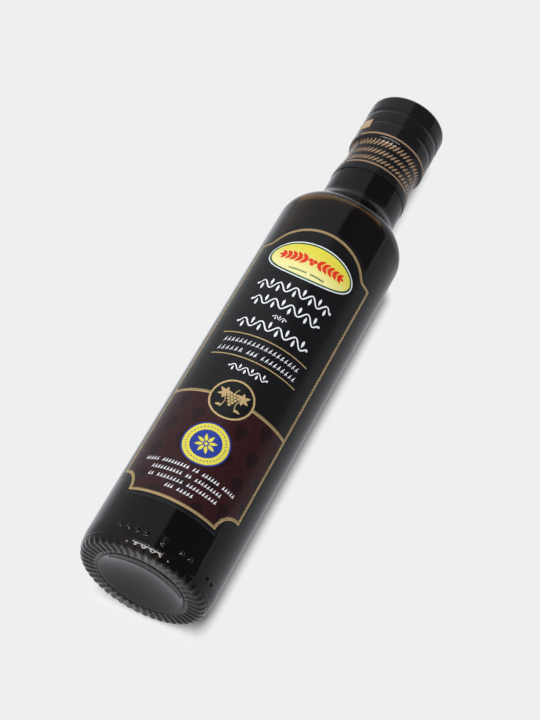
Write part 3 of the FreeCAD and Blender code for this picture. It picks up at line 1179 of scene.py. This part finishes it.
class GlassOperator(bpy.types.Operator):
    """Adds the glass with its ribbed foot, mould marks, shoulder and neck"""

    bl_idname = "bottle.glass"
    bl_label = "Glass"

    def execute(self, context):
        b = bottle()

        def relief(s, r, turn):
            if s > b.heel_s + 1.5 or r <= b.ring_r + b.ring_half:
                return s, r
            s, r = foot_relief(s, r, turn)
            line = max(0.0, 1 - (abs(s - b.parting_s) / 0.28) ** 2)
            stands = b.parting_h * line * rise(s, 2.2, 2.9)
            return s, r + stands + mark_relief(s, turn if turn <= math.pi else turn - 2 * math.pi)

        outside = outer_points()
        points = chain(outside, reversed(cavity_points()))

        def fine(k):
            return k < len(outside) and points[k][0] < b.heel_s and points[k][1] > b.ring_r

        vertices, faces = turned(points, b.rib_count * 4, relief, fine)
        piece = new_piece("glass", vertices, faces, glass_finish(), ("bottle_glass",))
        wrap(piece)
        return {"FINISHED"}


class VinegarOperator(bpy.types.Operator):
    """Fills the bottle up to the level at which the liquid lies"""

    bl_idname = "bottle.vinegar"
    bl_label = "Vinegar"

    def execute(self, context):
        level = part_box("vinegar")[1].z
        vertices, faces = turned(cavity_points(0.04), 180, flat=False)
        piece = new_piece(
            "vinegar_fill", vertices, faces, vinegar_finish(), ("vinegar",)
        )
        mesh = bmesh.new()
        mesh.from_mesh(piece.data)
        everything = mesh.verts[:] + mesh.edges[:] + mesh.faces[:]
        bmesh.ops.bisect_plane(
            mesh, geom=everything, plane_co=(0, 0, level), plane_no=(0, 0, 1), clear_outer=True
        )
        edges = [e for e in mesh.edges if e.is_boundary]
        filled = bmesh.ops.holes_fill(mesh, edges=edges)
        for face in filled["faces"]:
            face.smooth = False
        bmesh.ops.recalc_face_normals(mesh, faces=mesh.faces[:])
        mesh.to_mesh(piece.data)
        mesh.free()
        return {"FINISHED"}


class PaperOperator(bpy.types.Operator):
    """Lays the black label on the body"""

    bl_idname = "bottle.paper"
    bl_label = "Label paper"

    def execute(self, context):
        m = label()
        half = m.half + m.margin
        columns = []
        count = 96
        for i in range(-count, count + 1):
            w = half * i / count
            columns.append((w, lower_edge(w, m.margin), upper_edge(abs(w), m.margin)))
        page = label_print()
        page.field(columns, 0.0, 24)
        piece = page.make("label_paper", paper_finish("black label", tint("paper")), "label")
        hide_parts("front_label")
        inner = label_outline(m.margin)
        outer = label_outline(m.margin + 0.05)
        page = label_print()
        page.strip(inner + inner[:1], outer + outer[:1], 0.0)
        side = len(inner) + 1
        for k in range(side, 2 * side):
            w, s = page.places[k]
            page.vertices[k] = on_bottle(s, bottle().body_r + 0.005, page.turn - w / page.unit)
        page.make("label_edge", ink_finish("cut paper edge", tint("edge"), 0.5), "label")
        return {"FINISHED"}


class FieldOperator(bpy.types.Operator):
    """Prints the maroon field below the divider"""

    bl_idname = "bottle.field"
    bl_label = "Maroon field"

    def execute(self, context):
        m = label()
        page = label_print()
        columns = []
        count = 90
        for i in range(-count, count + 1):
            w = m.half * i / count
            columns.append((w, lower_edge(w, 0.0), m.divider_s))
        page.field(columns, LIFT["field"], 12)
        page.make("maroon_field", maroon_finish(), "label")
        return {"FINISHED"}


class FrameOperator(bpy.types.Operator):
    """Prints the gold frame, divider, medallion ring, rules and crest"""

    bl_idname = "bottle.frame"
    bl_label = "Gold print"

    def execute(self, context):
        m = label()
        page = label_print()
        page.stroke(label_outline(0.0), m.frame_wide, LIFT["ink"], closed=True)
        plain = label_print()
        rim = label_outline(m.frame_wide * 0.5 - 0.17)
        plain.stroke(rim, 0.34, LIFT["figure"], closed=True)
        for side in (-1, 1):
            for sheet, s, wide, lift in (
                (page, m.divider_s, m.divider_wide, LIFT["divider"]),
                (plain, m.divider_s - 0.42, 0.36, LIFT["edge"]),
            ):
                line = run((side * (m.medal_r - 0.3), s), (side * m.half, s), 24)
                sheet.stroke(line, wide, lift)
        for s in (92.8, 82.85):
            plain.stroke(run((-17.4, s), (17.4, s), 48), 0.42, LIFT["ink"])
        plain.make("gold_lines", gold_finish("plain gold", tint("gold")), "label")
        page.make("gold_frame", gold_finish("gold print", tint("gold"), 0.66), "label")
        disc = label_print()
        disc.oval(0, m.divider_s, m.medal_r, m.medal_r, LIFT["edge"])
        disc.make("medallion_field", paper_finish("medallion black", tint("paper")), "label")
        crest = label_print()
        r = m.medal_r
        crest.ring(0, m.divider_s, (r, r), (r - 0.7, r - 0.7), LIFT["crest"])
        self.crest(crest, m.divider_s)
        crest.make("medallion_gold", gold_finish("medallion gold", tint("gold")), "label")
        return {"FINISHED"}

    def crest(self, page, s):
        """A bunch of grapes between two vine leaves."""
        lift = LIFT["crest"]
        top = s + 2.2
        for row, count in enumerate((5, 4, 3, 2, 1)):
            for k in range(count):
                w = (k - (count - 1) / 2) * 1.25
                page.oval(w, top - row * 1.12, 0.55, 0.55, lift, 14)
        page.stroke([(0, top + 0.7), (0.25, top + 1.7), (0.9, top + 2.4)], 0.32, lift)
        for side in (-1, 1):
            for lean, long in ((90, 2.6), (35, 3.3), (-20, 3.0), (-75, 2.4), (140, 1.9)):
                way = lean if side > 0 else 180 - lean
                page.leaf(side * 3.0, s + 1.6, long, 0.62, way, lift)
            page.stroke(
                [(side * 3.0, s + 1.6), (side * 2.0, s - 1.4), (side * 2.6, s - 4.2)], 0.3, lift
            )
            page.leaf(side * 2.4, s - 3.4, 2.4, 0.5, -10 if side > 0 else 190, lift)


class BadgeOperator(bpy.types.Operator):
    """Prints the oval badge at the top of the label"""

    bl_idname = "bottle.badge"
    bl_label = "Badge"

    def execute(self, context):
        m = label()
        a, b, s = m.badge_half, m.badge_high, m.badge_s
        layers = (
            ("badge_rim", "white ink rim", "white", 0.0, LIFT["ground"]),
            ("badge_line", "badge green", "green", 0.46, LIFT["ring"]),
        )
        for name, finish, tone, inset, lift in layers:
            page = label_print()
            page.oval(0, s, a - inset, b - inset, lift, 72)
            page.make(name, ink_finish(finish, tint(tone)), "label")
        page = label_print()
        page.oval(0, s, a - 1.25, b - 1.15, LIFT["face"], 72, 8)
        page.make("badge_face", badge_finish(), "label")
        page = label_print()
        self.sprig(page, s)
        page.make("badge_motif", ink_finish("badge red", tint("red")), "label")
        page = label_print()
        wheat(page, s - 4.9, 1.2, 14.0, (5, 4), 0.5, LIFT["motif"])
        page.make("badge_leaves", ink_finish("badge leaf green", tint("green")), "label")
        return {"FINISHED"}

    def sprig(self, page, s):
        """Two sprays of leaves that meet at three berries."""
        lift = LIFT["motif"]
        mid = s + 0.5
        for side in (-1, 1):
            page.stroke(run((side * 1.2, mid), (side * 11.6, mid), 20), 0.42, lift)
            for k in range(5):
                w = side * (2.0 + 2.1 * k)
                long = 3.5 - 0.2 * k
                for up in (-1, 1):
                    lean = up * 46 if side > 0 else 180 - up * 46
                    page.leaf(w, mid, long, 0.72, lean, lift)
            page.leaf(side * 11.3, mid, 2.0, 0.55, 0 if side > 0 else 180, lift)
        for w, up in ((-0.85, 0.35), (0.85, 0.35), (0.0, -1.05)):
            page.oval(w, mid + up, 0.82, 0.82, lift + 0.004, 20)


class SealOperator(bpy.types.Operator):
    """Prints the round blue and yellow seal"""

    bl_idname = "bottle.seal"
    bl_label = "Seal"

    def execute(self, context):
        m = label()
        s, r = m.seal_s, m.seal_r
        page = label_print()
        page.oval(0, s, r - 0.35, r - 0.35, LIFT["ground"], 72)
        page.make("seal_disc", ink_finish("seal blue", tint("blue")), "label")
        page = label_print()
        page.ring(0, s, (r - 0.9, r - 0.9), (5.6, 5.6), LIFT["ring"])
        for k in range(8):
            lean = 45 * k + 22.5
            way = math.radians(lean)
            w, up = 0.9 * math.cos(way), 0.9 * math.sin(way)
            page.leaf(w, s + up, 3.1, 0.6, lean, LIFT["figure"])
        page.oval(0, s, 0.6, 0.6, LIFT["figure"], 20)
        page.make("seal_yellow", ink_finish("seal yellow", tint("yellow")), "label")
        page = label_print()
        for k in range(36):
            lean = math.radians(10 * k)
            w, up = 6.85 * math.cos(lean), 6.85 * math.sin(lean)
            page.oval(w, s + up, 0.26, 0.26, LIFT["face"], 10)
        page.make("seal_beads", ink_finish("seal bead blue", tint("blue")), "label")
        return {"FINISHED"}


class OrnamentOperator(bpy.types.Operator):
    """Prints the pale ornament rows that stand where the label has its lines"""

    bl_idname = "bottle.ornament"
    bl_label = "Pale rows"

    def execute(self, context):
        page = label_print()
        lift = LIFT["ink"]
        for s, wide, bends in ((116.7, 28.6, 9), (109.15, 26.0, 8), (98.25, 26.8, 8)):
            vine(page, s, 5.4, wide, bends, 0.86, lift)
        vine(page, 103.55, 2.3, 4.4, 3, 0.42, lift)
        vine(page, 78.4, 3.5, 13.8, 6, 0.6, lift)
        wheat(page, 89.6, 2.6, 30.6, (14,), 0.5, lift)
        wheat(page, 85.65, 2.6, 31.8, (5, 2, 7), 0.5, lift)
        rows = (
            (34.9, 35.4, (5, 9, 2, 6, 5)), (31.8, 26.9, (11, 2, 10)),
            (28.7, 26.4, (2, 9, 11)), (25.8, 10.6, (3, 6)),
        )
        for s, wide, groups in rows:
            wheat(page, s, 1.9, wide, groups, 0.44, lift)
        page.make("pale_rows", ink_finish("white ink", tint("white")), "label")
        return {"FINISHED"}


class CapsuleOperator(bpy.types.Operator):
    """Adds the black capsule over the neck and its closure"""

    bl_idname = "bottle.capsule"
    bl_label = "Capsule"

    def execute(self, context):
        vertices, faces = turned(capsule_points(), 256, flat=False)
        piece = new_piece("capsule_film", vertices, faces, capsule_finish(), ("neck_capsule",))
        face_out(piece)
        return {"FINISHED"}


class CapsulePrintOperator(bpy.types.Operator):
    """Prints the gold lines and staggered ornament rows on the capsule"""

    bl_idname = "bottle.capsule_print"
    bl_label = "Capsule print"

    def execute(self, context):
        c = capsule()
        radius = skin_radius(capsule_points())
        unit = bottle().waist_r
        page = Print(radius, 0.0, unit)
        around = 2 * math.pi * unit
        for s in (c.line_low_s, c.line_high_s):
            page.stroke(run((0, s), (around, s), 200), c.line_wide, NECK_LIFT)
        for row in range(3):
            self.garland(page, c.row_first + c.row_pitch * row, around, 0.5 * (row % 2))
        page.make("capsule_gold", gold_finish("capsule gold", tint("neck_gold")), "capsule")
        film = Print(radius, 0.0, unit)
        steps, first_turn, more_turn, tall = 40, 44, 9, 39.0
        seam = []
        for k in range(steps + 1):
            turn = math.radians(first_turn + more_turn * k / steps)
            seam.append((-unit * turn, c.edge_s + 0.3 + tall * k / steps))
        film.stroke(seam, 0.9, 0.07)
        dashes = 64
        for k in range(dashes):
            w = around * (k + 0.5) / dashes
            film.stroke([(w - 0.32, 212.0), (w + 0.32, 212.6)], 0.16, NECK_LIFT)
        film.make("capsule_seam", capsule_finish(), "capsule")
        return {"FINISHED"}

    def garland(self, page, s, around, shift):
        """One twisted ring: slanting leaves with a small berry between each two."""
        c = capsule()
        count = 2 * c.units
        pitch = around / count
        for k in range(count):
            w = pitch * (k + shift)
            foot = s - c.row_high * 0.46
            page.leaf(w - pitch * 0.45, foot, c.row_high * 1.08, 0.42, 58, NECK_LIFT)
            page.oval(w + pitch * 0.5, s + c.row_high * 0.3, 0.2, 0.2, NECK_LIFT, 8)


class TabOperator(bpy.types.Operator):
    """Adds the tan tear tab on the skirt"""

    bl_idname = "bottle.tab"
    bl_label = "Tear tab"

    def execute(self, context):
        c = capsule()
        f = material("tan tear tab")
        grain = f.noise(f.place(), 1.5, 3.0)
        base = tint("tab")
        f.surface(
            Base_Color=f.mix(grain.step(0.3, 0.8), base, [k * 0.8 for k in base]),
            Roughness=0.3 + 0.1 * grain, Normal=f.bump(grain, 0.00003, 0.4),
        )
        vertices, faces = [], []
        across, along = 20, 10
        rows = []
        for level in (c.skirt_r - 0.02, c.skirt_r + c.tab_thick):
            grid = []
            for j in range(along + 1):
                line = []
                for i in range(across + 1):
                    turn = c.tab_from + (c.tab_to - c.tab_from) * i / across
                    s = c.tab_low + (c.tab_high - c.tab_low) * j / along
                    line.append(len(vertices))
                    vertices.append(on_bottle(s, level, turn))
                grid.append(line)
            rows.append(grid)
        for grid in rows:
            for a, b in zip(grid, grid[1:]):
                for i in range(across):
                    faces.append((a[i], a[i + 1], b[i + 1], b[i]))
        low, high = rows
        rim_low, rim_high = self.border(low), self.border(high)
        n = len(rim_low)
        for i in range(n):
            j = (i + 1) % n
            faces.append((rim_low[i], rim_low[j], rim_high[j], rim_high[i]))
        piece = new_piece("tab", vertices, faces, f.owner, ("tear_tab",), smooth=False)
        wrap(piece)
        return {"FINISHED"}

    def border(self, grid):
        """The points round the edge of a grid, in order."""
        right = [line[-1] for line in grid[1:]]
        left = [line[0] for line in grid[-2:0:-1]]
        return grid[0] + right + grid[-1][-2::-1] + left


OPERATORS = (
    StageOperator, GlassOperator, VinegarOperator, PaperOperator, FieldOperator, FrameOperator,
    BadgeOperator, SealOperator, OrnamentOperator, CapsuleOperator, CapsulePrintOperator,
    TabOperator,
)


class BottlePanel(bpy.types.Panel):
    """Lists the steps that build the bottle"""

    bl_idname = "VIEW3D_PT_bottle"
    bl_label = "Vinegar bottle"
    bl_space_type = "VIEW_3D"
    bl_region_type = "UI"
    bl_category = "Bottle"

    def draw(self, context):
        for operator in OPERATORS:
            self.layout.operator(operator.bl_idname)
        for name in GROUPS:
            group = getattr(context.scene, name)
            box = self.layout.box()
            box.label(text=group.bl_rna.name)
            for key in group.__annotations__:
                box.prop(group, key)


def register():
    for name, group in GROUPS.items():
        bpy.utils.register_class(group)
        setattr(bpy.types.Scene, name, bpy.props.PointerProperty(type=group))
    for operator in OPERATORS:
        bpy.utils.register_class(operator)
    bpy.utils.register_class(BottlePanel)


def unregister():
    bpy.utils.unregister_class(BottlePanel)
    for operator in reversed(OPERATORS):
        bpy.utils.unregister_class(operator)
    for name, group in GROUPS.items():
        delattr(bpy.types.Scene, name)
        bpy.utils.unregister_class(group)


def main():
    register()
    for operator in OPERATORS:
        group, name = operator.bl_idname.split(".")
        getattr(getattr(bpy.ops, group), name)()


if __name__ == "__main__":
    main()
